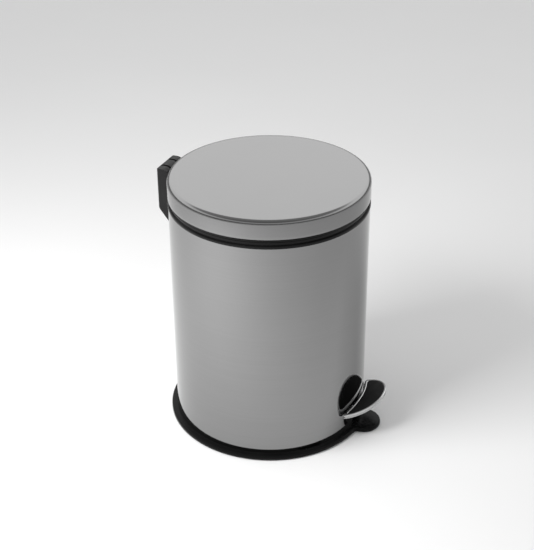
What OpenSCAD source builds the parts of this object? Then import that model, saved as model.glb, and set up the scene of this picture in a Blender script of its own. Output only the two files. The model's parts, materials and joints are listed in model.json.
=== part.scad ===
// Round pedal bin: steel body and lid, plastic rings, pedal lever, push rod and removable bucket.
// The origin is on the body's axis at the floor. +Z is up, the pedal is at -Y and the hinge at +Y.

/* [Body] */
// Outside diameter of the steel body
body_d = 205; // [198:1:212]
// Height of the closed bin, floor to lid top
bin_h = 276; // [272:1:290]
// Thickness of the body and lid sheet
sheet_t = 0.8; // [0.6:0.1:1]

/* [Lid] */
// How far the lid's skirt stands out past the body
lid_over = 0.4; // [0.3:0.1:0.6]
// Height of the lid's skirt
skirt_h = 20; // [18:0.5:21]
// Radius of the rounded edge round the lid's top
lid_round = 4.5; // [3:0.5:5]
// Angle that the lid opens through, in degrees
lid_open = 75; // [60:1:75]

/* [Base] */
// How far the foot ring stands out past the body
foot_over = 6.5; // [4.5:0.5:8.5]
// Height of the foot ring's flange above the floor
foot_h = 6; // [5.5:0.1:6.2]
// Radius of the round tongue under the pedal
tongue_r = 19; // [15:0.5:22]

/* [Pedal] */
// Half width of the pedal
pedal_a = 36; // [30:1:38]
// Distance that the pedal stands out from its inner edge
pedal_b = 27.5; // [22:0.5:29]
// Height of the pedal's top plane, measured 12.5 mm in front of the body
pedal_z = 37.5; // [36:0.5:39]
// Rise of the pedal's top plane per unit of distance from the axis
pedal_slope = 0.42; // [0.38:0.01:0.45]
// Width of the pedal's bright rim
pedal_rim = 2.8; // [2.4:0.1:3.4]

/* [Hinge] */
// How far the lid's hinge axis lies behind the body
hinge_out = 9.8; // [9.7:0.1:10.5]
// Width of the hinge housing
housing_w = 36; // [36:1:42]

/* [Bucket] */
// Gap between the bucket's wall, just under its rim, and the body
bucket_gap = 16.5; // [16:0.5:20]
// Thickness of the bucket's wall
bucket_t = 1.8; // [1.5:0.1:2.5]

/* [Hidden] */
$fn = 96;
e = 0.05;

// Body
body_r = body_d / 2;
body_ri = body_r - sheet_t;
body_z0 = 3;
body_z1 = bin_h - 29.5;
slot_w = 27;
slot_z0 = foot_h + 0.3;
slot_z1 = pedal_z - 6.5;
notch_w = 25;
notch_z0 = body_z1 - 8.5;

// Top ring
ring_lip_r = body_r + 0.5;
ring_wall_r = body_r - 2;
ring_top_z = bin_h - 6;
shelf_z = bin_h - 14;
shelf_t = 2.5;
bucket_r = body_r - bucket_gap;
shelf_r = bucket_r + 1.5;
spigot_r = body_ri - 0.1;
spigot_z0 = body_z1 - 11;

// Foot ring
ring_bottom_z = 0.6;
wall_top_z = 12;
wall_t = 3.9;
foot_r = body_r + foot_over;
strip_r0 = body_r - 3;
strip_r1 = body_r + 3;
strip_h = 2;
edge_r = 2.4;
tongue_y = -(body_r + 6);
plate_r = body_r - 5.5;
plate_z = 3;
plate_t = 0.8;
plate_top = plate_z + plate_t;
boss_at = body_r - 10.5;
boss_r = 4;
boss_top = 12;

// Pedal lever, measured along the distance v = -y from the bin's axis
pivot_y = -25;
pivot_z = 10;
pin_r = 2.5;
running = 0.05;
lever_w = 22;
lever_t = 2.4;
web_top = 15.5;
tray_t = 4.9;
pedal_ref = body_r + 12.5;
pedal_v0 = body_r + 1.5;
pedal_end_k = 0.86;
ear_r = 4.2;
ear_t = 2.5;
ear_in = 8.5;

// Lid hinge and push rod
hinge_y = body_r + hinge_out;
hinge_z = bin_h - 15.5;
housing_r = 9;
housing_back = 6.6;
housing_edge = 2;
hinge_pin_r = 2;
rod_r = 1.5;
rod_y = body_r - 4.7;
rod_travel = 21.4;
rod_top_z = hinge_z - rod_travel / 2;
rod_low_z = pivot_z + 1;
rod_bend = 4;
crank_x = 7;
crank_t = 2;
crank_r0 = hinge_y - rod_y;
crank_r1 = sqrt(pow(crank_r0, 2) + pow(rod_travel / 2, 2));
crank_slot_r = rod_r + 0.5;
crank_wall = 2;
crank_dir = [-cos(lid_open / 2), -sin(lid_open / 2)];
ear_bar_r = 4.6;
ear_slot_r = 5.9;
ear_gap = 0.4;
ears_half_w = crank_x + crank_t + 1.4;
ears_above = 10.3;
lid_r = body_r + lid_over;
lid_under = bin_h - sheet_t;
lid_plate_t = 1.5;
lid_bracket_y0 = body_r - 36.5;
lid_bracket_y1 = body_r - 7.5;
ear_knee_y = body_r - 6.5;
lid_rivet_x = 11;
lid_rivet_y = [lid_bracket_y0 + 5, lid_bracket_y0 + 13];
bracket_rivet_x = 5;
bracket_rivet_y = 8;
small_rivet_r = 1.5;
small_rivet_hole_r = 1.55;
small_rivet_head_r = 2.6;
guide_z0 = body_z1 - 25;
guide_z1 = body_z1 - 11.5;
screw_x = 12.5;
screw_r = 1.7;
screw_hole_r = 2.1;
screw_rows = [guide_z0 + 6.5, guide_z0 - 8];
screw_ends = [hinge_y + 3.5, hinge_y - 5.8];
housing_y1 = hinge_y + housing_back;
housing_z0 = bin_h - 72;
housing_taper_z = bin_h - 50;

// Bucket
bucket_z0 = 38;
bucket_taper = 6;
rim_r = bucket_r + 4;
rim_z0 = shelf_z;
rim_t = 2;
bail_wire_r = 1.75;
bail_r = rim_r - 2;
grip_wall = 0.8;
bail_z = rim_z0 + rim_t + bail_wire_r + grip_wall + 0.05;
ear_plate_x = bucket_r - 2.5;

STEEL = [0.72, 0.72, 0.72];
ZINC = [0.60, 0.61, 0.62];
BRIGHT = [0.80, 0.80, 0.81];
BLACK = [0.08, 0.08, 0.08];
RUBBER = [0.05, 0.05, 0.05];
GREY = [0.25, 0.26, 0.27];

// A cylinder along X, centred on x = 0 unless x0 is given
module rod_x(r, x0, x1, y, z) {
    translate([x0, y, z])
        rotate([0, 90, 0])
            cylinder(r = r, h = x1 - x0);
}

// A cylinder along Y
module rod_y_dir(r, x, y0, y1, z) {
    translate([x, y0, z])
        rotate([-90, 0, 0])
            cylinder(r = r, h = y1 - y0);
}

// A plain tube standing on z0
module tube(r1, r0, z0, z1) {
    difference() {
        translate([0, 0, z0])
            cylinder(r = r1, h = z1 - z0);
        translate([0, 0, z0 - 1])
            cylinder(r = r0, h = z1 - z0 + 2);
    }
}

// A box given by its two corners
module block(a, b) {
    translate(a)
        cube(b - a);
}

// A side profile drawn in [y, z], extruded along X from x0 to x1
module side_plate(x0, x1) {
    translate([x0, 0, 0])
        rotate([90, 0, 90])
            linear_extrude(height = x1 - x0)
                children();
}

// A bar with round ends between two points of a flat drawing
module round_bar(a, b, r) {
    d = b - a;
    translate(a)
        circle(r = r);
    translate(b)
        circle(r = r);
    translate(a)
        rotate(atan2(d[1], d[0]))
            translate([0, -r])
                square([norm(d), 2 * r]);
}

// Points on an arc about c, from angle a0 to a1
function arc(c, r, a0, a1, n = 8) =
    [for (i = [0 : n]) c + r * [cos(a0 + (a1 - a0) * i / n), sin(a0 + (a1 - a0) * i / n)]];

// ---------------------------------------------------------------- body and rings

module body_shell() {
    color(STEEL)
        difference() {
            tube(body_r, body_ri, body_z0, body_z1);
            block([-slot_w / 2, -body_r - 2, slot_z0], [slot_w / 2, -body_r + 12, slot_z1]);
            block([-notch_w / 2, body_r - 12, notch_z0], [notch_w / 2, body_r + 2, body_z1 + 1]);
            for (x = [-screw_x, screw_x], z = screw_rows)
                rod_y_dir(screw_hole_r, x, body_r - 12, body_r + 4, z);
        }
}

module top_ring() {
    lip_h = 3;
    color(BLACK)
        difference() {
            rotate_extrude()
                polygon(concat(
                    [[spigot_r - 2.2, spigot_z0], [spigot_r, spigot_z0], [spigot_r, body_z1 + e],
                        [ring_lip_r - 1.2, body_z1 + e]],
                    arc([ring_lip_r - 1.5, body_z1 + e + lip_h / 2], lip_h / 2, -80, 80),
                    [[ring_wall_r + 0.4, body_z1 + lip_h + 0.2], [ring_wall_r + 0.4, body_z1 + 6],
                        [ring_wall_r, body_z1 + 6.4], [ring_wall_r, ring_top_z - 1],
                        [ring_wall_r - 1, ring_top_z], [ring_wall_r - 4, ring_top_z],
                        [ring_wall_r - 4, shelf_z], [shelf_r, shelf_z], [shelf_r, shelf_z - shelf_t],
                        [spigot_r - 4.6, shelf_z - shelf_t], [spigot_r - 2.2, shelf_z - shelf_t - 3]]));
            block([-notch_w / 2, 80, spigot_z0 - 1], [notch_w / 2, body_r + 4, ring_top_z + 1]);
        }
}

module foot_flange_profile(r) {
    polygon(concat(
        [[0, ring_bottom_z], [r - 0.8, ring_bottom_z], [r, ring_bottom_z + 0.8]],
        arc([r - edge_r, foot_h - edge_r], edge_r, 0, 90, 6),
        [[0, foot_h]]));
}

module base_ring() {
    wall_r = body_ri - 0.1;
    color(BLACK)
        difference() {
            union() {
                rotate_extrude()
                    foot_flange_profile(foot_r);
                translate([0, tongue_y, 0])
                    rotate_extrude()
                        foot_flange_profile(tongue_r);
                tube(wall_r, wall_r - wall_t, ring_bottom_z, wall_top_z);
                for (a = [45 : 90 : 315])
                    rotate(a)
                        translate([boss_at, 0, plate_top])
                            cylinder(r = boss_r, h = boss_top - plate_top);
            }
            // the recess for the floor plate, and the opening above it
            translate([0, 0, -1])
                cylinder(r = plate_r + 0.3, h = plate_top + 1);
            difference() {
                translate([0, 0, plate_top - 1])
                    cylinder(r = wall_r - wall_t, h = 20);
                for (a = [45 : 90 : 315])
                    rotate(a)
                        translate([boss_at, 0, 0])
                            cylinder(r = boss_r, h = boss_top);
                translate([0, 0, plate_top - 2])
                    tube(wall_r, boss_at - boss_r, 0, 4);
            }
            // the seat for the body's lower edge
            tube(body_r + 0.1, wall_r, body_z0 - e, foot_h + 1);
            // the groove for the anti-slip strip
            tube(strip_r1 + 0.1, strip_r0 - 0.1, -1, strip_h + e);
            // gaps for the lever in front and for the rod behind
            block([-slot_w / 2, -body_ri, plate_top], [slot_w / 2, -80, wall_top_z + 1]);
            block([-slot_w / 2, 80, plate_top], [slot_w / 2, body_ri, wall_top_z + 1]);
            for (a = [45 : 90 : 315])
                rotate(a)
                    translate([boss_at, 0, 0])
                        cylinder(r = 1.45, h = boss_top - 1);
        }
}

module anti_slip_strip() {
    color(RUBBER)
        tube(strip_r1, strip_r0, 0, strip_h);
}

module bottom_plate() {
    color(ZINC)
        difference() {
            union() {
                translate([0, 0, plate_z])
                    cylinder(r = plate_r, h = plate_t);
                tube(62, 58, plate_top - e, plate_top + 1.2);
            }
            block([-20, -64, plate_top], [20, -54, plate_top + 2]);
            block([-20, 54, plate_top], [20, 64, plate_top + 2]);
            for (a = [45 : 90 : 315])
                rotate(a)
                    translate([boss_at, 0, 0])
                        cylinder(r = 1.9, h = 8);
            for (x = [-bracket_rivet_x, bracket_rivet_x], y = [-bracket_rivet_y, bracket_rivet_y])
                translate([x, pivot_y + y, 0])
                    cylinder(r = small_rivet_hole_r, h = 8);
        }
}

module plate_screws() {
    color(ZINC)
        for (a = [45 : 90 : 315])
            rotate(a)
                translate([boss_at, 0, 0])
                    difference() {
                        union() {
                            translate([0, 0, 1.3])
                                cylinder(r1 = 2.9, r2 = 3.4, h = plate_z - 1.3);
                            translate([0, 0, 2])
                                cylinder(r = 1.4, h = 8);
                        }
                        for (t = [0, 90])
                            rotate(t)
                                translate([-2, -0.4, 1])
                                    cube([4, 0.8, 1.2]);
                    }
}

// ---------------------------------------------------------------- pedal and lever

// Height of the pedal's top plane at distance v from the axis
function pedal_top(v) = pedal_z + pedal_slope * (v - pedal_ref);

// Plan outline of the pedal, shrunk by s on all sides: half an ellipse with an inner edge
// that follows the body
function pedal_outline(s, n = 32) =
    let (a = pedal_a - s, ri = pedal_v0 + s,
        v_ends = sqrt(ri * ri - pedal_end_k * a * a) + 1,
        v_out = pedal_v0 + pedal_b - s,
        reach = asin(a / (ri + 1)) - 0.5)
    concat(
        [for (i = [0 : n])
            let (t = -90 + 180 * i / n)
            [a * sin(t), -(v_ends + (v_out - v_ends) * cos(t))]],
        [for (i = [1 : n / 2 - 1])
            let (t = reach - 2 * reach * i / (n / 2))
            [ri * sin(t), -ri * cos(t)]]);

// The slab between depths d0 and d1 below the pedal's top plane
module pedal_slab(d0, d1) {
    side_plate(-60, 60)
        polygon([[-90, pedal_top(90) - d1], [-90, pedal_top(90) - d0],
            [-140, pedal_top(140) - d0], [-140, pedal_top(140) - d1]]);
}

module pedal_prism(s) {
    linear_extrude(height = 80)
        polygon(pedal_outline(s));
}

// Places its children at distance v, x to one side, and depth d under the pedal's plane
module on_pedal(x, v, d) {
    translate([x, -v, pedal_top(v)])
        rotate([-atan(pedal_slope), 0, 0])
            translate([0, 0, -d])
                children();
}

rivet_spots = [[-6, pedal_ref - 1], [6, pedal_ref - 1]];
pedal_rivet_r = 2;

module pedal_tray() {
    color(BRIGHT)
        difference() {
            intersection() {
                pedal_prism(0);
                pedal_slab(0, tray_t);
            }
            intersection() {
                pedal_prism(pedal_rim);
                pedal_slab(-1, 2.6);
            }
            for (p = rivet_spots)
                on_pedal(p[0], p[1], 12)
                    cylinder(r = pedal_rivet_r + 0.05, h = 14);
        }
}

module pedal_pad() {
    color(RUBBER)
        difference() {
            intersection() {
                pedal_prism(pedal_rim + 0.1);
                pedal_slab(0.2, 2.55);
            }
            for (p = rivet_spots)
                on_pedal(p[0], p[1], 4)
                    cylinder(r = 3.6, h = 2.9);
        }
}

module pedal_rivets() {
    color(ZINC)
        for (p = rivet_spots) {
            on_pedal(p[0], p[1], 7.6)
                cylinder(r = pedal_rivet_r, h = 6);
            on_pedal(p[0], p[1], 2.38)
                cylinder(r = 3.4, h = 1.1);
            on_pedal(p[0], p[1], 7.98)
                cylinder(r = 3, h = 1.1);
        }
}

module pedal_lever() {
    v_bend = body_r - 5.5;
    v_tip = pedal_ref + 7;
    under = tray_t + 0.1;
    top_bend = pedal_top(v_bend) - under;
    top_tip = pedal_top(v_tip) - under;
    v_web = 62;
    web_end = rod_y - 6;
    lug_x0 = 3.5;
    slot_h = rod_r + 0.25;
    color(ZINC)
        difference() {
            union() {
                side_plate(-lever_w / 2, lever_w / 2)
                    polygon([[web_end, web_top], [-v_web, web_top], [-v_bend, top_bend], [-v_tip, top_tip],
                        [-v_tip, top_tip - lever_t], [-v_bend, top_bend - lever_t],
                        [-v_web, web_top - lever_t], [web_end, web_top - lever_t]]);
                for (x = [-lever_w / 2, ear_in])
                    side_plate(x, x + ear_t) {
                        translate([pivot_y, pivot_z])
                            circle(r = ear_r);
                        polygon([[pivot_y - ear_r, pivot_z], [pivot_y + ear_r, pivot_z],
                            [pivot_y + 9, web_top - 1], [pivot_y - 9, web_top - 1]]);
                    }
                // the forked lug that lifts the rod's lower hook
                side_plate(lug_x0, lug_x0 + ear_t)
                    polygon([[web_end - 12, web_top - 1], [web_end - 8, rod_low_z - 3.6],
                        [rod_y + 3, rod_low_z - 3.6], [rod_y + 3, web_top], [web_end - 12, web_top]]);
            }
            rod_x(pin_r + running, -20, 20, pivot_y, pivot_z);
            side_plate(lug_x0 - 1, lug_x0 + ear_t + 1) {
                translate([rod_y, rod_low_z])
                    circle(r = slot_h);
                translate([rod_y, rod_low_z - slot_h])
                    square([12, 2 * slot_h]);
            }
            for (p = rivet_spots)
                on_pedal(p[0], p[1], 12)
                    cylinder(r = pedal_rivet_r + 0.05, h = 14);
        }
}

module lever_bracket() {
    x0 = lever_w / 2 + 0.4;
    t = 1.5;
    color(ZINC)
        difference() {
            union() {
                block([-x0 - t, pivot_y - 12, plate_top + 0.02], [x0 + t, pivot_y + 12, plate_top + t]);
                for (x = [-x0 - t, x0])
                    side_plate(x, x + t) {
                        translate([pivot_y, pivot_z])
                            circle(r = 5);
                        polygon([[pivot_y - 12, plate_top + 0.5], [pivot_y + 12, plate_top + 0.5],
                            [pivot_y + 5, pivot_z], [pivot_y - 5, pivot_z]]);
                    }
            }
            rod_x(pin_r + 0.02, -20, 20, pivot_y, pivot_z);
            for (x = [-bracket_rivet_x, bracket_rivet_x], y = [-bracket_rivet_y, bracket_rivet_y])
                translate([x, pivot_y + y, 0])
                    cylinder(r = small_rivet_hole_r, h = 8);
        }
}

module bracket_rivets() {
    color(ZINC)
        for (x = [-bracket_rivet_x, bracket_rivet_x], y = [-bracket_rivet_y, bracket_rivet_y])
            translate([x, pivot_y + y, 0]) {
                translate([0, 0, plate_z - 0.9])
                    cylinder(r = small_rivet_head_r, h = 0.9);
                translate([0, 0, plate_z - 0.5])
                    cylinder(r = small_rivet_r, h = 3.2);
                translate([0, 0, plate_top + 1.5])
                    cylinder(r = 2.4, h = 0.8);
            }
}

module lever_pin() {
    color(ZINC) {
        rod_x(pin_r, -16, 13.5, pivot_y, pivot_z);
        rod_x(4, 13.1, 14.8, pivot_y, pivot_z);
    }
}

module pin_clip() {
    color(ZINC)
        difference() {
            rod_x(4.4, -14.4, -13.1, pivot_y, pivot_z);
            rod_x(pin_r + 0.02, -20, -10, pivot_y, pivot_z);
        }
}

// ---------------------------------------------------------------- push rod

// A quarter bend of the rod's wire, from straight up to +X
module wire_bend() {
    rotate([90, 0, 0])
        rotate_extrude(angle = 90)
            translate([rod_bend, 0])
                circle(r = rod_r);
}

module push_rod() {
    color(ZINC) {
        translate([0, rod_y, rod_low_z + rod_bend - e])
            cylinder(r = rod_r, h = rod_top_z - rod_low_z - 2 * rod_bend + 2 * e);
        translate([rod_bend, rod_y, rod_top_z - rod_bend])
            rotate([0, -90, 0])
                wire_bend();
        translate([rod_bend, rod_y, rod_low_z + rod_bend])
            rotate([0, 180, 0])
                wire_bend();
        rod_x(rod_r, rod_bend - e, 11.8, rod_y, rod_top_z);
        rod_x(rod_r, rod_bend - e, 9, rod_y, rod_low_z);
    }
}

module rod_retainers() {
    color(ZINC)
        for (p = [[crank_x + crank_t + 0.4, rod_top_z], [6.5, rod_low_z]])
            difference() {
                rod_x(3.2, p[0], p[0] + 1.2, rod_y, p[1]);
                rod_x(rod_r + 0.01, p[0] - 1, p[0] + 3, rod_y, p[1]);
            }
}

module rod_guide() {
    color(BLACK)
        difference() {
            intersection() {
                block([-17, rod_y - 4, guide_z0], [17, body_r, guide_z1]);
                translate([0, 0, guide_z0 - 1])
                    cylinder(r = body_ri - 0.05, h = 30);
            }
            translate([0, rod_y, guide_z0 - 1])
                cylinder(r = rod_r + 0.08, h = 30);
            for (x = [-screw_x, screw_x])
                rod_y_dir(screw_hole_r, x, body_r - 22, body_r + 4, screw_rows[0]);
        }
}

// ---------------------------------------------------------------- hinge

// Plan outline of the housing with rounded outer corners
module housing_plan(w, r) {
    y0 = body_r - 12.5;
    y1 = housing_y1;
    translate([-w / 2, y0])
        square([w, y1 - r - y0]);
    translate([-w / 2 + r, y0])
        square([w - 2 * r, y1 - y0]);
    for (x = [-w / 2 + r, w / 2 - r])
        translate([x, y1 - r])
            circle(r = r);
}

// Side profile of the housing: round towards the lid, flat on top and behind, with a tapered foot
module housing_side(s) {
    r = housing_r - s;
    back = housing_y1 - s;
    top = hinge_z + r;
    polygon(concat(
        [[hinge_y - r, hinge_z - 20]],
        arc([hinge_y, hinge_z], r, 180, 90, 14),
        arc([back - housing_edge, top - housing_edge], housing_edge, 90, 0, 5),
        [[back, housing_taper_z + 0.4 * s], [body_r - 4, housing_z0 + 1.8 * s - 4],
            [body_r - 8, hinge_z - 20]]));
}

module hinge_housing() {
    wall = 2.4;
    screw_boss_r = 5;
    color(BLACK)
        difference() {
            union() {
                difference() {
                    intersection() {
                        linear_extrude(height = 400)
                            housing_plan(housing_w, 3);
                        side_plate(-40, 40)
                            housing_side(0);
                    }
                    // the hollow below the hinge
                    intersection() {
                        linear_extrude(height = hinge_z - 12)
                            difference() {
                                housing_plan(housing_w - 2 * wall, 2);
                                translate([-50, housing_y1 - wall])
                                    square([100, 10]);
                            }
                        side_plate(-40, 40)
                            housing_side(wall);
                    }
                }
                // screw bosses
                intersection() {
                    for (x = [-screw_x, screw_x], z = screw_rows)
                        rod_y_dir(screw_boss_r, x, body_r - 12.5, housing_y1 - 1, z);
                    side_plate(-40, 40)
                        housing_side(0.5);
                    linear_extrude(height = 400)
                        housing_plan(housing_w - 1, 2.5);
                }
            }
            // the body, the top ring's lip and the lid's skirt
            translate([0, 0, 100])
                cylinder(r = body_r + 0.05, h = body_z1 - 100 + e);
            translate([0, 0, body_z1])
                cylinder(r = ring_lip_r + 0.15, h = 40);
            // slots for the two hinge ears
            for (x = [-crank_x - crank_t - ear_gap, crank_x - ear_gap])
                side_plate(x, x + crank_t + 2 * ear_gap) {
                    round_bar([hinge_y, hinge_z], [hinge_y, hinge_z] + 20 * crank_dir, ear_bar_r);
                    translate([hinge_y, hinge_z])
                        circle(r = ear_slot_r);
                    translate([hinge_y - 20, hinge_z - ear_slot_r])
                        square([20, 30]);
                    translate([hinge_y - 1, hinge_z])
                        square([ear_slot_r + 1, 20]);
                    translate([body_r - 12, hinge_z - 15])
                        square([15, 30]);
                }
            rod_x(hinge_pin_r + 0.02, -14, 40, hinge_y, hinge_z);
            for (x = [-screw_x, screw_x], i = [0, 1])
                rod_y_dir(screw_r + 0.05, x, body_r - 12, screw_ends[i] + 0.5, screw_rows[i]);
        }
}

module housing_screws() {
    color(ZINC)
        for (x = [-screw_x, screw_x], i = [0, 1]) {
            head_y = i == 0 ? rod_y - 4 : sqrt(pow(body_ri, 2) - pow(screw_x + 3.5, 2));
            rod_y_dir(screw_r, x, head_y - 1, screw_ends[i], screw_rows[i]);
            difference() {
                rod_y_dir(3.5, x, head_y - 2.2, head_y - 0.02, screw_rows[i]);
                for (t = [0, 90])
                    translate([x, head_y - 2.3, screw_rows[i]])
                        rotate([0, t, 0])
                            translate([-2, 0, -0.4])
                                cube([4, 1.1, 0.8]);
            }
        }
}

module hinge_pin() {
    color(ZINC)
        rod_x(hinge_pin_r, -13.8, housing_w / 2 - 0.5, hinge_y, hinge_z);
}

// ---------------------------------------------------------------- lid

module lid_shell() {
    hem = 1.1;
    hem_h = 1.6;
    z0 = bin_h - skirt_h;
    centre = [lid_r - lid_round, bin_h - lid_round];
    color(STEEL)
        difference() {
            rotate_extrude()
                polygon(concat(
                    [[0, lid_under], [0, bin_h]],
                    arc(centre, lid_round, 90, 0, 10),
                    [[lid_r, z0 + 0.4], [lid_r - 0.4, z0], [lid_r - hem, z0], [lid_r - hem, z0 + hem_h],
                        [lid_r - sheet_t, z0 + hem_h + 0.3]],
                    arc(centre, lid_round - sheet_t, 0, 90, 10)));
            // the notch for the hinge ears
            block([-ears_half_w, body_r - 12, z0 - 1], [ears_half_w, lid_r + 1, hinge_z + ears_above]);
        }
}

// Side outline of one hinge ear
module ear_side() {
    round_bar([hinge_y, hinge_z], [ear_knee_y, hinge_z + 6], ear_bar_r);
    polygon([[hinge_y - 2, hinge_z + 4.4], [lid_bracket_y1, lid_under - lid_plate_t / 2],
        [ear_knee_y - 10, lid_under - lid_plate_t / 2], [ear_knee_y, hinge_z + 2],
            [hinge_y - 3, hinge_z - 3.4]]);
}

module lid_bracket() {
    axis = [hinge_y, hinge_z];
    color(ZINC)
        difference() {
            union() {
                block([-14, lid_bracket_y0, lid_under - lid_plate_t],
                    [14, lid_bracket_y1, lid_under - 0.02]);
                for (x = [-crank_x - crank_t, crank_x])
                    side_plate(x, x + crank_t)
                        ear_side();
                // the crank on the right ear
                side_plate(crank_x, crank_x + crank_t)
                    round_bar(axis + 4 * crank_dir, axis + crank_r1 * crank_dir, crank_slot_r + crank_wall);
            }
            rod_x(hinge_pin_r + running, -20, 20, hinge_y, hinge_z);
            side_plate(crank_x - 1, crank_x + crank_t + 1)
                round_bar(axis + (crank_r0 - 0.2) * crank_dir, axis + (crank_r1 + 0.2) * crank_dir,
                    crank_slot_r);
            for (x = [-lid_rivet_x, lid_rivet_x], y = lid_rivet_y)
                translate([x, y, lid_under - 5])
                    cylinder(r = small_rivet_hole_r, h = 8);
        }
}

module lid_rivets() {
    color(ZINC)
        for (x = [-lid_rivet_x, lid_rivet_x], y = lid_rivet_y)
            translate([x, y, 0]) {
                translate([0, 0, lid_under - lid_plate_t - 0.9])
                    cylinder(r = small_rivet_head_r, h = 0.88);
                translate([0, 0, lid_under - lid_plate_t - 0.5])
                    cylinder(r = small_rivet_r, h = lid_plate_t + 0.48);
            }
}

module lid_buffers() {
    color(RUBBER)
        for (a = [-90, 30, 150])
            rotate(a)
                translate([ring_wall_r - 2.6, 0, ring_top_z + 0.3])
                    cylinder(r = 1.5, h = lid_under - ring_top_z - 0.45);
}

// ---------------------------------------------------------------- bucket

module bucket() {
    r1 = bucket_r;
    r0 = bucket_r - bucket_taper;
    hole_z = bail_z;
    color(GREY)
        difference() {
            union() {
                rotate_extrude()
                    polygon([[0, bucket_z0 + 1], [r0 - 14, bucket_z0 + 1], [r0 - 15, bucket_z0],
                        [r0 - 3, bucket_z0], [r0, bucket_z0 + 3], [r1, rim_z0 - 4], [r1, rim_z0],
                        [rim_r, rim_z0], [rim_r, rim_z0 + rim_t - 0.5], [rim_r - 0.5, rim_z0 + rim_t],
                        [r1 - bucket_t, rim_z0 + rim_t], [r1 - bucket_t, rim_z0 - 4],
                        [r0 - bucket_t, bucket_z0 + 3 + bucket_t], [r0 - 3 - bucket_t, bucket_z0 + 3],
                        [0, bucket_z0 + 3]]);
                for (m = [0, 1])
                    mirror([m, 0, 0])
                        side_plate(ear_plate_x, ear_plate_x + 2) {
                            translate([0, hole_z])
                                circle(r = 4);
                            translate([-4, rim_z0])
                                square([8, hole_z - rim_z0]);
                        }
            }
            rod_x(bail_wire_r + running, -100, 100, 0, hole_z);
        }
}

// The bail is an arc of wire whose ends turn inwards through the bucket's ears
module bail_handle() {
    bend_r = 2.4;
    bend_at = bail_r - bend_r;
    turn = asin(bend_r / bend_at);
    color(ZINC) {
        translate([0, 0, bail_z])
            rotate([0, 0, 180 + turn - 0.3])
                rotate_extrude(angle = 180.6 - 2 * turn)
                    translate([bail_r, 0])
                        circle(r = bail_wire_r);
        for (m = [0, 1])
            mirror([m, 0, 0]) {
                translate([bend_at * cos(turn), -bend_r, bail_z])
                    rotate([0, 0, -turn])
                        rotate_extrude(angle = 90 + turn)
                            translate([bend_r, 0])
                                circle(r = bail_wire_r + 0.04);
                rod_x(bail_wire_r, ear_plate_x - 2, bend_at * cos(turn) + 0.3, 0, bail_z);
            }
    }
}

module bail_grip() {
    half = 24;
    color(BLACK)
        translate([0, 0, bail_z])
            rotate([0, 0, -90 - half])
                rotate_extrude(angle = 2 * half)
                    translate([bail_r, 0])
                        difference() {
                            circle(r = bail_wire_r + grip_wall);
                            circle(r = bail_wire_r + 0.02);
                        }
}

body_shell();
top_ring();
base_ring();
anti_slip_strip();
bottom_plate();
plate_screws();
lever_bracket();
bracket_rivets();
lever_pin();
pin_clip();
pedal_lever();
pedal_tray();
pedal_pad();
pedal_rivets();
push_rod();
rod_retainers();
rod_guide();
hinge_housing();
housing_screws();
hinge_pin();
lid_shell();
lid_bracket();
lid_rivets();
lid_buffers();
bucket();
bail_handle();
bail_grip();
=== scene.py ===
"""Looks for the round pedal bin: mirror-polished body, satin lid, black rings, chrome pedal.

Lengths inside the piece functions are millimetres, and MM turns them into Blender's metres.
The origin is on the bin's axis at the floor, +Z up, the pedal at -Y and the hinge at +Y.
"""

import json
import math

import bmesh
import bpy
from mathutils import Matrix, Vector


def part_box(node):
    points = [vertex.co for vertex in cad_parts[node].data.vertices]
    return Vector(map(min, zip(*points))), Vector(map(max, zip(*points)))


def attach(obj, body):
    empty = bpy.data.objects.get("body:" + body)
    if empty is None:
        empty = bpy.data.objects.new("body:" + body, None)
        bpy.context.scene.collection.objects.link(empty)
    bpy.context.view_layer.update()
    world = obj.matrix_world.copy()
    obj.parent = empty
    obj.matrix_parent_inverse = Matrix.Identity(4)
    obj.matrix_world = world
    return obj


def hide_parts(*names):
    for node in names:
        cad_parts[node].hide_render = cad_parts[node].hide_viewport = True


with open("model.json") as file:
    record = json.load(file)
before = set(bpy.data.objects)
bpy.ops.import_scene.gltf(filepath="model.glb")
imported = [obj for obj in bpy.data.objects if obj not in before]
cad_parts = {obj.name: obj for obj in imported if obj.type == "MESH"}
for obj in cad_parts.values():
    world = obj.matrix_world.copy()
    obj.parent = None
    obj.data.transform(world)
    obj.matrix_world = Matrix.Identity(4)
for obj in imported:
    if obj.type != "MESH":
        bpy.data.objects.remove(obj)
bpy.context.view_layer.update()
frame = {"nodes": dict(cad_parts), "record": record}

MM = 0.001
FULL_TURN = 2 * math.pi
REAR = math.pi / 2
FRONT = -math.pi / 2
SHARP_DEG = 35


# ------------------------------------------------------------------ sizes read from the frame

def node_box(node):
    """Lowest and highest corner of a CAD node, in millimetres."""
    low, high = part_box(node)
    return low / MM, high / MM


body_low, body_high = node_box("body_shell")
ring_low, ring_high = node_box("top_ring")
lid_low, lid_high = node_box("lid_shell")
tray_low, tray_high = node_box("pedal_tray")
bucket_r = node_box("bucket")[1].x

BODY_R = body_high.x
BODY_Z0, BODY_Z1 = body_low.z, body_high.z
SHEET = 0.8
LID_R = lid_high.x
LID_Z0, LID_Z1 = lid_low.z, lid_high.z
LID_ROUND = 4.5
HINGE_BELOW_LID = 15.5
HINGE_Z = LID_Z1 - HINGE_BELOW_LID
PEDAL_A = tray_high.x
PEDAL_V0 = BODY_R + 1.5
PEDAL_REF = BODY_R + 12.5
PEDAL_V1 = -tray_low.y
PEDAL_END = 0.86
PEDAL_SLOPE = 0.42
PEDAL_DEPTH = 4.9
PEDAL_RIM = 2.8


# ------------------------------------------------------------------ mesh helpers

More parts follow.
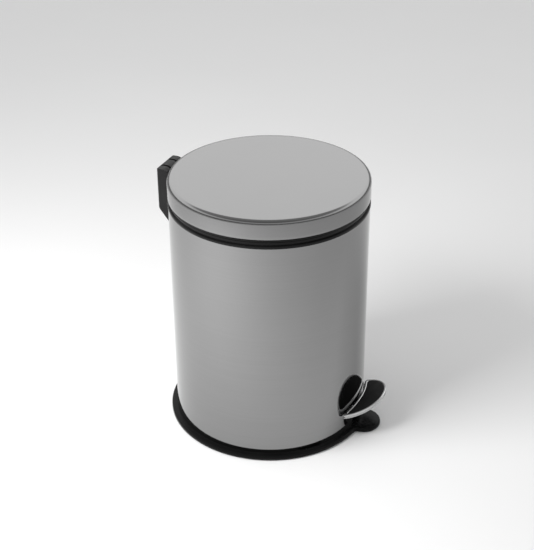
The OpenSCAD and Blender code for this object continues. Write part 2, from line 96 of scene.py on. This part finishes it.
def finish_mesh(bm, name, smooth_deg):
    """Stores a bmesh as a new object, smooth except along edges sharper than smooth_deg."""
    loose = [v for v in bm.verts if not v.link_faces]
    bmesh.ops.delete(bm, geom=loose, context="VERTS")
    bmesh.ops.recalc_face_normals(bm, faces=bm.faces)
    mesh = bpy.data.meshes.new(name)
    bm.to_mesh(mesh)
    bm.free()
    mesh.shade_smooth()
    mesh.set_sharp_from_angle(angle=math.radians(smooth_deg))
    piece = bpy.data.objects.new(name, mesh)
    bpy.context.scene.collection.objects.link(piece)
    return piece


def bevel_edges(piece, width):
    """Rounds a piece's sharp edges by width millimetres."""
    bevel = piece.modifiers.new("edges", "BEVEL")
    bevel.width = width * MM
    bevel.segments = 2
    bevel.limit_method = "ANGLE"
    bevel.angle_limit = math.radians(SHARP_DEG)
    bevel.use_clamp_overlap = True
    weighted = piece.modifiers.new("normals", "WEIGHTED_NORMAL")
    weighted.keep_sharp = False


def rounded(corners, closed=True):
    """The outline through (x, y, radius) corners, each turned with an arc of its radius."""
    outline = []
    steps = 5
    count = len(corners)
    for k, (x, y, radius) in enumerate(corners):
        here = Vector((x, y))
        at_end = not closed and k in (0, count - 1)
        if radius == 0 or at_end:
            outline.append(here)
            continue
        back = Vector(corners[k - 1][:2]) - here
        ahead = Vector(corners[(k + 1) % count][:2]) - here
        half = back.angle(ahead) / 2
        reach = min(radius / math.tan(half), 0.49 * back.length, 0.49 * ahead.length)
        centre = here + (back.normalized() + ahead.normalized()).normalized() * reach / math.cos(half)
        start = here + back.normalized() * reach - centre
        sweep = start.angle_signed(here + ahead.normalized() * reach - centre)
        for i in range(steps + 1):
            outline.append(centre + Matrix.Rotation(-sweep * i / steps, 2) @ start)
    return outline


def on_circle(bm, r, z, angle):
    return bm.verts.new((r * MM * math.cos(angle), r * MM * math.sin(angle), z * MM))


def add_face(bm, corners):
    """A face through the corners, leaving out any that repeat."""
    distinct = list(dict.fromkeys(corners))
    if len(distinct) > 2:
        bm.faces.new(distinct)


def turn_between(angle, other):
    """The smaller turn from one angle to another, without its sign."""
    return abs((angle - other + math.pi) % FULL_TURN - math.pi)


def stations(steps, edges):
    """Angles all the way round, with the edges of every window among them."""
    spacing = FULL_TURN / steps
    even = [i * spacing for i in range(steps)]
    edges = [a % FULL_TURN for a in edges]
    kept = [a for a in even if all(abs(a - b) > 0.3 * spacing for b in edges)]
    return sorted(kept + edges)


def thick_sheet(bm, outer, inner, angles, is_open):
    """Two paired (r, z) lines turned about Z and joined at their ends and round every window."""
    def skin(points):
        rows = []
        for r, z in points:
            if r == 0:
                rows.append([on_circle(bm, 0, z, 0)] * len(angles))
            else:
                rows.append([on_circle(bm, r, z, a) for a in angles])
        return rows

    count = len(angles)
    skins = [skin(outer), skin(inner)]
    cells = set()
    for i in range(len(outer) - 1):
        for j in range(count):
            width = (angles[(j + 1) % count] - angles[j]) % FULL_TURN
            if not is_open(angles[j] + width / 2, (outer[i][1] + outer[i + 1][1]) / 2):
                cells.add((i, j))
    for i, j in sorted(cells):
        k = (j + 1) % count
        for rows in skins:
            add_face(bm, [rows[i][j], rows[i][k], rows[i + 1][k], rows[i + 1][j]])
        borders = (((i - 1, j), (i, j), (i, k)), ((i + 1, j), (i + 1, k), (i + 1, j)),
                   ((i, (j - 1) % count), (i + 1, j), (i, j)), ((i, k), (i, k), (i + 1, k)))
        for neighbour, a, b in borders:
            if neighbour not in cells:
                add_face(bm, [skins[0][a[0]][a[1]], skins[0][b[0]][b[1]],
                              skins[1][b[0]][b[1]], skins[1][a[0]][a[1]]])


def join_rows(bm, rows):
    """Closed rows of vertices joined one to the next, with a face over the first and the last."""
    for row, following in zip(rows, rows[1:]):
        for k in range(len(row)):
            m = (k + 1) % len(row)
            add_face(bm, [row[k], row[m], following[m], following[k]])
    bm.faces.new(rows[0])
    bm.faces.new(rows[-1])


def turned(bm, loop, steps, gap):
    """A closed (r, z) outline turned about Z. gap is the half angle left out at the rear."""
    rows = []
    for i in range(steps + 1):
        angle = REAR + gap + (FULL_TURN - 2 * gap) * i / steps
        rows.append([on_circle(bm, r, z, angle) for r, z in loop])
    join_rows(bm, rows)


def loft(bm, rings):
    """Closed rings of points, in millimetres, joined one to the next."""
    join_rows(bm, [[bm.verts.new(Vector(p) * MM) for p in ring] for ring in rings])


def cad_copy(node):
    """A clean copy of a CAD node's mesh: joined along its faces' edges, flat faces made whole."""
    bm = bmesh.new()
    bm.from_mesh(frame["nodes"][node].data)
    bmesh.ops.remove_doubles(bm, verts=bm.verts, dist=0.002 * MM)
    bmesh.ops.dissolve_limit(bm, angle_limit=math.radians(0.3), verts=bm.verts, edges=bm.edges)
    return bm


# ------------------------------------------------------------------ materials

class Nodes:
    """A short way to write a material's node tree."""

    def __init__(self, name):
        self.material = bpy.data.materials.new(name)
        self.material.use_nodes = True
        self.tree = self.material.node_tree
        self.shader = self.tree.nodes["Principled BSDF"]
        self.place = self.add("ShaderNodeTexCoord").outputs["Object"]

    def add(self, kind, inputs=(), **settings):
        node = self.tree.nodes.new(kind)
        for key, value in settings.items():
            setattr(node, key, value)
        for key, value in dict(inputs).items():
            if isinstance(value, bpy.types.NodeSocket):
                self.tree.links.new(value, node.inputs[key])
            else:
                node.inputs[key].default_value = value
        return node

    def stretched(self, scale):
        """Object coordinates scaled by (x, y, z)."""
        return self.add("ShaderNodeMapping", {"Vector": self.place, "Scale": scale}).outputs["Vector"]

    def noise(self, scale, detail=3, vector=None):
        return self.add("ShaderNodeTexNoise", {"Vector": vector or self.place, "Scale": scale,
                                               "Detail": detail}).outputs["Fac"]

    def spread(self, value, low, high, to_low=0.0, to_high=1.0):
        """Maps low..high of a value to to_low..to_high."""
        return self.add("ShaderNodeMapRange", {"Value": value, "From Min": low, "From Max": high,
                                               "To Min": to_low, "To Max": to_high}).outputs["Result"]

    def shades(self, factor, dark, light):
        """A colour between dark and light."""
        ramp = self.add("ShaderNodeValToRGB", {"Fac": factor})
        ramp.color_ramp.elements[0].color = (*dark, 1)
        ramp.color_ramp.elements[1].color = (*light, 1)
        return ramp.outputs["Color"]

    def link(self, output, socket):
        self.tree.links.new(output, self.shader.inputs[socket])

    def set(self, **values):
        for key, value in values.items():
            self.shader.inputs[key.replace("_", " ")].default_value = value

    def bump(self, height, strength, distance):
        node = self.add("ShaderNodeBump", {"Height": height, "Strength": strength,
                                           "Distance": distance * MM})
        self.link(node.outputs["Normal"], "Normal")


def grey(value, tint=0.0):
    return value * (1 - tint), value, value * (1 + tint)


def metal(name, shade, rough, grain, bump, contrast=0.06, cloud=9.0):
    """Metal with brushed grain: grain is the noise's scale along x, y and z."""
    m = Nodes(name)
    m.set(Metallic=1.0)
    brushed = m.noise(1.0, 4, m.stretched(grain))
    clouds = m.noise(cloud, 3)
    mixed = m.add("ShaderNodeMath", {0: brushed, 1: clouds}, operation="ADD").outputs[0]
    dark, light = grey(shade * (1 - contrast)), grey(shade * (1 + contrast))
    m.link(m.shades(m.spread(mixed, 0.7, 1.3), dark, light), "Base Color")
    m.link(m.spread(mixed, 0.7, 1.3, rough[0], rough[1]), "Roughness")
    m.bump(brushed, bump, 0.02)
    return m.material


def zinc(name, shade, rough=(0.32, 0.48)):
    """Zinc plating: faint crystal patches under a thin dull film."""
    m = Nodes(name)
    m.set(Metallic=1.0)
    patches = m.add("ShaderNodeTexVoronoi", {"Vector": m.place, "Scale": 420.0}).outputs["Color"]
    clouds = m.noise(60.0, 4)
    patch = m.add("ShaderNodeSeparateColor", {"Color": patches}).outputs["Red"]
    mixed = m.add("ShaderNodeMath", {0: patch, 1: clouds}, operation="ADD").outputs[0]
    dark, light = grey(shade * 0.86, 0.02), grey(shade * 1.08, 0.01)
    m.link(m.shades(m.spread(mixed, 0.4, 1.6), dark, light), "Base Color")
    m.link(m.spread(mixed, 0.4, 1.6, rough[1], rough[0]), "Roughness")
    m.bump(m.noise(900.0, 3), 0.15, 0.02)
    return m.material


def plastic(name, shade, rough, texture, bump, gloss=0.5):
    """Moulded plastic: fine surface texture, soft mottling and slight handling marks."""
    m = Nodes(name)
    mottle = 0.25
    clouds = m.noise(35.0, 4)
    dark, light = grey(shade * (1 - mottle), 0.01), grey(shade * (1 + mottle))
    m.link(m.shades(m.spread(clouds, 0.3, 0.7), dark, light), "Base Color")
    marks = m.noise(1.0, 5, m.stretched((300.0, 300.0, 90.0)))
    m.link(m.spread(marks, 0.3, 0.7, rough[0], rough[1]), "Roughness")
    m.bump(m.noise(texture, 2), bump, 0.03)
    m.set(Specular_IOR_Level=gloss)
    return m.material


def rubber(name, shade, texture=1500.0):
    """Rubber: matte, with a pimpled grain and a dusty bloom."""
    m = Nodes(name)
    bloom = m.noise(55.0, 5)
    m.link(m.shades(m.spread(bloom, 0.35, 0.75), grey(shade * 0.8), grey(shade * 1.5)), "Base Color")
    m.link(m.spread(bloom, 0.35, 0.75, 0.58, 0.78), "Roughness")
    grain = m.add("ShaderNodeTexVoronoi", {"Vector": m.place, "Scale": texture}).outputs["Distance"]
    m.bump(grain, 0.25, 0.05)
    m.set(Specular_IOR_Level=0.15)
    return m.material


def body_steel():
    """Mirror-polished sheet, ground round the bin, with faint polishing streaks up and down."""
    return metal("steel_body", 0.265, (0.05, 0.10), (4.0, 4.0, 1400.0), 0.006, contrast=0.03, cloud=6.0)


def lid_steel():
    """Satin sheet with a fine circular grind."""
    return metal("steel_lid", 0.245, (0.12, 0.18), (30.0, 30.0, 900.0), 0.02, contrast=0.03)


def pedal_chrome():
    return metal("pedal_steel", 0.50, (0.05, 0.12), (200.0, 200.0, 200.0), 0.02, contrast=0.05)


def drawn_wire():
    return metal("rod_wire", 0.58, (0.24, 0.36), (900.0, 900.0, 40.0), 0.1, contrast=0.1)


def glossy_ring():
    return plastic("gloss_black", 0.005, (0.04, 0.10), 500.0, 0.02, gloss=0.18)


def foot_plastic():
    return plastic("base_black", 0.005, (0.16, 0.28), 700.0, 0.03, gloss=0.08)


def housing_plastic():
    return plastic("housing_black", 0.008, (0.34, 0.48), 1100.0, 0.2, gloss=0.26)


def guide_plastic():
    return plastic("guide_plastic", 0.05, (0.40, 0.55), 900.0, 0.1)


def bucket_plastic():
    return plastic("bucket_plastic", 0.05, (0.32, 0.46), 650.0, 0.12)


def grip_plastic():
    return plastic("grip_plastic", 0.02, (0.25, 0.35), 700.0, 0.06)


MATERIALS = {
    "steel_body": body_steel(),
    "steel_lid": lid_steel(),
    "gloss_black": glossy_ring(),
    "base_black": foot_plastic(),
    "rubber_strip": rubber("rubber_strip", 0.02),
    "zinc_sheet": zinc("zinc_sheet", 0.55),
    "zinc_fasteners": zinc("zinc_fasteners", 0.6, (0.24, 0.38)),
    "zinc_lever": zinc("zinc_lever", 0.5),
    "pedal_steel": pedal_chrome(),
    "pedal_rubber": rubber("pedal_rubber", 0.006, 1200.0),
    "rod_wire": drawn_wire(),
    "guide_plastic": guide_plastic(),
    "housing_black": housing_plastic(),
    "bucket_plastic": bucket_plastic(),
    "grip_plastic": grip_plastic(),
}
SLOT_OF = {part["node"]: part["material_slot"] for part in frame["record"]["subparts"]}
BODY_OF = {node: body for body, nodes in frame["record"]["behaviour"]["bodies"].items() for node in nodes}


def stand_for(piece, node):
    """Gives a piece its material, lets it move with its CAD node's body and hides that CAD node."""
    piece.data.materials.clear()
    piece.data.materials.append(MATERIALS[SLOT_OF[node]])
    for polygon in piece.data.polygons:
        polygon.material_index = 0
    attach(piece, BODY_OF[node])
    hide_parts(node)


# ------------------------------------------------------------------ body, rings and lid

def make_body():
    """The sheet tube with its lever slot, hinge notch and rolled edges."""
    slot_half = 13.5
    slot_z0 = 6.3
    slot_below_pedal = 6.5
    slot_z1 = pedal_top(PEDAL_REF) - slot_below_pedal
    notch_half = 12.5
    notch_z0 = BODY_Z1 - 8.5
    edge = 0.25
    slot_angle = math.asin(slot_half / BODY_R)
    notch_angle = math.asin(notch_half / BODY_R)

    def is_open(angle, z):
        from_front = turn_between(angle, FRONT)
        from_rear = turn_between(angle, REAR)
        in_slot = from_front < slot_angle and slot_z0 < z < slot_z1
        in_notch = from_rear < notch_angle and z > notch_z0
        return in_slot or in_notch

    inner_r = BODY_R - SHEET
    levels = [BODY_Z0 + edge, slot_z0, slot_z1, notch_z0, BODY_Z1 - edge]
    outer = [(BODY_R - edge, BODY_Z0)] + [(BODY_R, z) for z in levels] + [(BODY_R - edge, BODY_Z1)]
    inner = [(inner_r, BODY_Z0)] + [(inner_r, z) for z in levels] + [(inner_r, BODY_Z1)]
    edges = (FRONT - slot_angle, FRONT + slot_angle, REAR - notch_angle, REAR + notch_angle)
    bm = bmesh.new()
    thick_sheet(bm, outer, inner, stations(288, edges), is_open)
    stand_for(finish_mesh(bm, "body_sheet", 30), "body_shell")


def make_top_ring():
    """The glossy ring between body and lid, with its half-round lip and stepped wall."""
    lip_r = ring_high.x
    lip_z0, lip_z1 = BODY_Z1 + 0.05, BODY_Z1 + 3.05
    wall_r = BODY_R - 2
    top_z = ring_high.z
    shelf_z = top_z - 8.0
    shelf_r = bucket_r - 2.5
    spigot_r = BODY_R - SHEET - 0.1
    gap_half = 12.5
    loop = rounded([
        (spigot_r - 2.2, ring_low.z, 0.6), (spigot_r, ring_low.z, 0.6), (spigot_r, lip_z0, 0),
        (lip_r, lip_z0, 1.3), (lip_r, lip_z1, 1.5),
        (wall_r + 0.4, lip_z1, 0.3), (wall_r + 0.4, lip_z1 + 2.9, 0.2),
        (wall_r, lip_z1 + 3.3, 0.2), (wall_r, top_z, 1.0),
        (wall_r - 4, top_z, 0.8), (wall_r - 4, shelf_z, 0.6),
        (shelf_r, shelf_z, 0.7), (shelf_r, shelf_z - 2.5, 0.7), (spigot_r - 4.6, shelf_z - 2.5, 1.0),
        (spigot_r - 2.2, shelf_z - 5.5, 1.0)])
    bm = bmesh.new()
    turned(bm, loop, steps=256, gap=math.asin(gap_half / wall_r))
    stand_for(finish_mesh(bm, "top_ring_trim", 40), "top_ring")


def make_lid():
    """The pressed lid: flat top, rounded edge, skirt and a folded hem, notched for the hinge."""
    notch_half = 10.4
    notch_top = HINGE_Z + 10.3
    hem = 1.1
    arc_steps = 14
    centre_r, centre_z = LID_R - LID_ROUND, LID_Z1 - LID_ROUND

    def arc_line(radius):
        return [(centre_r + radius * math.sin(t), centre_z + radius * math.cos(t))
                for t in (math.pi / 2 * i / arc_steps for i in range(arc_steps + 1))]

    top_rings = (0, 30, 60, 80, 90, 96)
    outer = [(r, LID_Z1) for r in top_rings] + arc_line(LID_ROUND)
    outer += [(LID_R, LID_Z0 + 3.0), (LID_R, LID_Z0 + 0.7), (LID_R - 0.2, LID_Z0 + 0.2),
              (LID_R - 0.5, LID_Z0)]
    inner = [(r, LID_Z1 - SHEET) for r in top_rings] + arc_line(LID_ROUND - SHEET)
    inner += [(LID_R - SHEET, LID_Z0 + 3.0), (LID_R - SHEET, LID_Z0 + 1.9), (LID_R - hem, LID_Z0 + 1.4),
              (LID_R - hem, LID_Z0 + 0.1)]
    angle = math.asin(notch_half / LID_R)

    def is_open(turn, z):
        from_rear = turn_between(turn, REAR)
        return from_rear < angle and z < notch_top

    bm = bmesh.new()
    thick_sheet(bm, outer, inner, stations(288, (REAR - angle, REAR + angle)), is_open)
    stand_for(finish_mesh(bm, "lid_sheet", 35), "lid_shell")


# ------------------------------------------------------------------ pedal

def pedal_top(v):
    """Height of the pedal's top plane at distance v in front of the bin's axis."""
    return tray_high.z + PEDAL_SLOPE * (v - PEDAL_V1)


def pedal_ring(inset, depth, n=72):
    """The pedal's outline, shrunk by inset and lowered by depth below its sloping top plane."""
    a = PEDAL_A - inset
    ri = PEDAL_V0 + inset
    v_ends = math.sqrt(ri * ri - PEDAL_END * a * a) + 1
    v_out = PEDAL_V1 - inset
    reach = math.asin(a / (ri + 1)) - math.radians(0.5)
    points = []
    for i in range(n + 1):
        t = math.pi * (i / n - 0.5)
        points.append((a * math.sin(t), v_ends + (v_out - v_ends) * math.cos(t)))
    for i in range(1, n // 2):
        t = reach * (1 - 4 * i / n)
        points.append((ri * math.sin(t), ri * math.cos(t)))
    return [(x, -v, pedal_top(v) - depth) for x, v in points]


def make_pedal_tray():
    """The chrome tray: a rolled rim with a grooved side round a shallow pocket."""
    section = rounded([
        (9.0, 2.6, 0), (PEDAL_RIM, 2.6, 0.3), (PEDAL_RIM, 0.0, 0.9), (0.0, 0.0, 1.3), (0.0, 2.1, 0.7),
        (0.5, 2.7, 0.5), (0.5, 3.3, 0.5), (0.0, 3.9, 0.7), (0.0, PEDAL_DEPTH, 0.9), (9.0, PEDAL_DEPTH, 0)],
        closed=False)
    bm = bmesh.new()
    loft(bm, [pedal_ring(inset, depth) for inset, depth in section])
    stand_for(finish_mesh(bm, "pedal_dish", 50), "pedal_tray")


def make_pedal_pad():
    """The rubber pad: rounded edges and a slightly crowned top."""
    clear = PEDAL_RIM + 0.1
    section = rounded([
        (clear, 2.55, 0), (clear, 0.45, 0.6), (clear + 3.0, 0.22, 2.0), (clear + 8.0, 0.2, 0)],
        closed=False)
    bm = bmesh.new()
    loft(bm, [pedal_ring(inset, depth) for inset, depth in section])
    stand_for(finish_mesh(bm, "pedal_rubber_pad", 50), "pedal_pad")


# ------------------------------------------------------------------ mechanical parts

SOFT_EDGES = {
    "base_ring": 0.0,
    "anti_slip_strip": 0.4,
    "bottom_plate": 0.25,
    "plate_screws": 0.15,
    "lever_bracket": 0.3,
    "bracket_rivets": 0.3,
    "lever_pin": 0.3,
    "pin_clip": 0.2,
    "pedal_lever": 0.4,
    "pedal_rivets": 0.4,
    "push_rod": 0.3,
    "rod_retainers": 0.25,
    "rod_guide": 0.5,
    "hinge_housing": 0.6,
    "housing_screws": 0.2,
    "hinge_pin": 0.4,
    "lid_bracket": 0.3,
    "lid_rivets": 0.3,
    "lid_buffers": 0.3,
    "bucket": 0.3,
    "bail_handle": 0.0,
    "bail_grip": 0.2,
}


def make_softened(node, width):
    """A copy of a CAD node with its sharp edges rounded by width millimetres."""
    piece = finish_mesh(cad_copy(node), node + "_part", SHARP_DEG)
    if width:
        bevel_edges(piece, width)
    stand_for(piece, node)


# ------------------------------------------------------------------ stage, light and camera

def make_floor():
    """A pale floor that runs far past the view."""
    half = 40.0
    bm = bmesh.new()
    bmesh.ops.create_grid(bm, x_segments=24, y_segments=24, size=half)
    bmesh.ops.translate(bm, verts=bm.verts, vec=(0, 0, -0.0001))
    floor = finish_mesh(bm, "floor", 30)
    m = Nodes("floor_pale")
    m.link(m.shades(m.noise(3.0, 2), grey(0.83), grey(0.86)), "Base Color")
    m.set(Roughness=0.9, Specular_IOR_Level=0.1)
    floor.data.materials.append(m.material)


def make_softbox(name, place, size, watts):
    """A rectangular area light turned to the bin's middle, left out of mirror reflections."""
    target = Vector((0, 0, 0.12))
    data = bpy.data.lights.new(name, "AREA")
    data.shape = "RECTANGLE"
    data.size, data.size_y = size
    data.energy = watts
    lamp = bpy.data.objects.new(name, data)
    bpy.context.scene.collection.objects.link(lamp)
    lamp.location = place
    lamp.visible_glossy = False
    lamp.rotation_euler = (target - Vector(place)).to_track_quat("-Z", "Y").to_euler()


def make_sky():
    """The studio's surround: dim low down, bright above it, and weaker on the camera's side."""
    world = bpy.data.worlds.new("studio")
    bpy.context.scene.world = world
    world.use_nodes = True
    tree = world.node_tree
    coordinates = tree.nodes.new("ShaderNodeTexCoord")
    split = tree.nodes.new("ShaderNodeSeparateXYZ")
    ramp = tree.nodes.new("ShaderNodeValToRGB")
    behind = tree.nodes.new("ShaderNodeVectorMath")
    behind.operation = "DOT_PRODUCT"
    behind.inputs[1].default_value = from_camera(0, 1, 0)
    side = tree.nodes.new("ShaderNodeMapRange")
    side.inputs["From Min"].default_value = -0.6
    side.inputs["From Max"].default_value = 0.4
    side.inputs["To Min"].default_value = 1.1
    side.inputs["To Max"].default_value = 2.3
    tree.links.new(coordinates.outputs["Generated"], behind.inputs[0])
    tree.links.new(behind.outputs["Value"], side.inputs["Value"])
    tree.links.new(side.outputs["Result"], tree.nodes["Background"].inputs["Strength"])
    elements = ramp.color_ramp.elements
    elements[0].position = 0.0
    elements[0].color = (*grey(0.14), 1)
    elements[1].position = 1.0
    elements[1].color = (*grey(0.22), 1)
    for position, value in ((0.24, 0.16), (0.36, 0.70), (0.64, 0.70), (0.74, 0.22)):
        stop = elements.new(position)
        stop.color = (*grey(value), 1)
    tree.links.new(coordinates.outputs["Generated"], split.inputs["Vector"])
    tree.links.new(split.outputs["Z"], ramp.inputs["Fac"])
    tree.links.new(ramp.outputs["Color"], tree.nodes["Background"].inputs["Color"])


CAMERA_AZIMUTH = math.radians(66.5)
CAMERA_DISTANCE = 1.110
CAMERA_HEIGHT = 0.7966
CAMERA_YAW = -0.00253
CAMERA_PITCH = 0.52072
CAMERA_ROLL = -0.00755
LENS = 79.8


def make_camera():
    """The photograph's viewpoint: 31 degrees above the floor, the pedal at the lower right."""
    turn = Matrix.Rotation(-CAMERA_AZIMUTH, 3, "Z")
    forward = Vector((math.sin(CAMERA_YAW) * math.cos(CAMERA_PITCH),
                      math.cos(CAMERA_YAW) * math.cos(CAMERA_PITCH), -math.sin(CAMERA_PITCH)))
    level = Vector((math.cos(CAMERA_YAW), -math.sin(CAMERA_YAW), 0))
    rise = level.cross(forward)
    right = math.cos(CAMERA_ROLL) * level + math.sin(CAMERA_ROLL) * rise
    up = -math.sin(CAMERA_ROLL) * level + math.cos(CAMERA_ROLL) * rise
    axes = Matrix([turn @ right, turn @ up, turn @ -forward]).transposed()
    data = bpy.data.cameras.new("view")
    data.lens = LENS
    data.sensor_width = 36.0
    data.clip_start = 0.05
    camera = bpy.data.objects.new("view", data)
    bpy.context.scene.collection.objects.link(camera)
    place = turn @ Vector((0, -CAMERA_DISTANCE, CAMERA_HEIGHT))
    camera.matrix_world = Matrix.Translation(place) @ axes.to_4x4()
    bpy.context.scene.camera = camera


def from_camera(side, ahead, height):
    """A place in the row frame, given as seen from the camera's side of the bin."""
    turn = Matrix.Rotation(-CAMERA_AZIMUTH, 3, "Z")
    return turn @ Vector((side, ahead, height))


def make_lights():
    make_softbox("key_left", from_camera(-0.5, -0.3, 0.7), (0.4, 0.4), 7.5)


make_body()
make_top_ring()
make_lid()
make_pedal_tray()
make_pedal_pad()
for node, width in SOFT_EDGES.items():
    make_softened(node, width)
make_floor()
make_sky()
make_lights()
make_camera()
bpy.context.scene.view_settings.view_transform = "Standard"
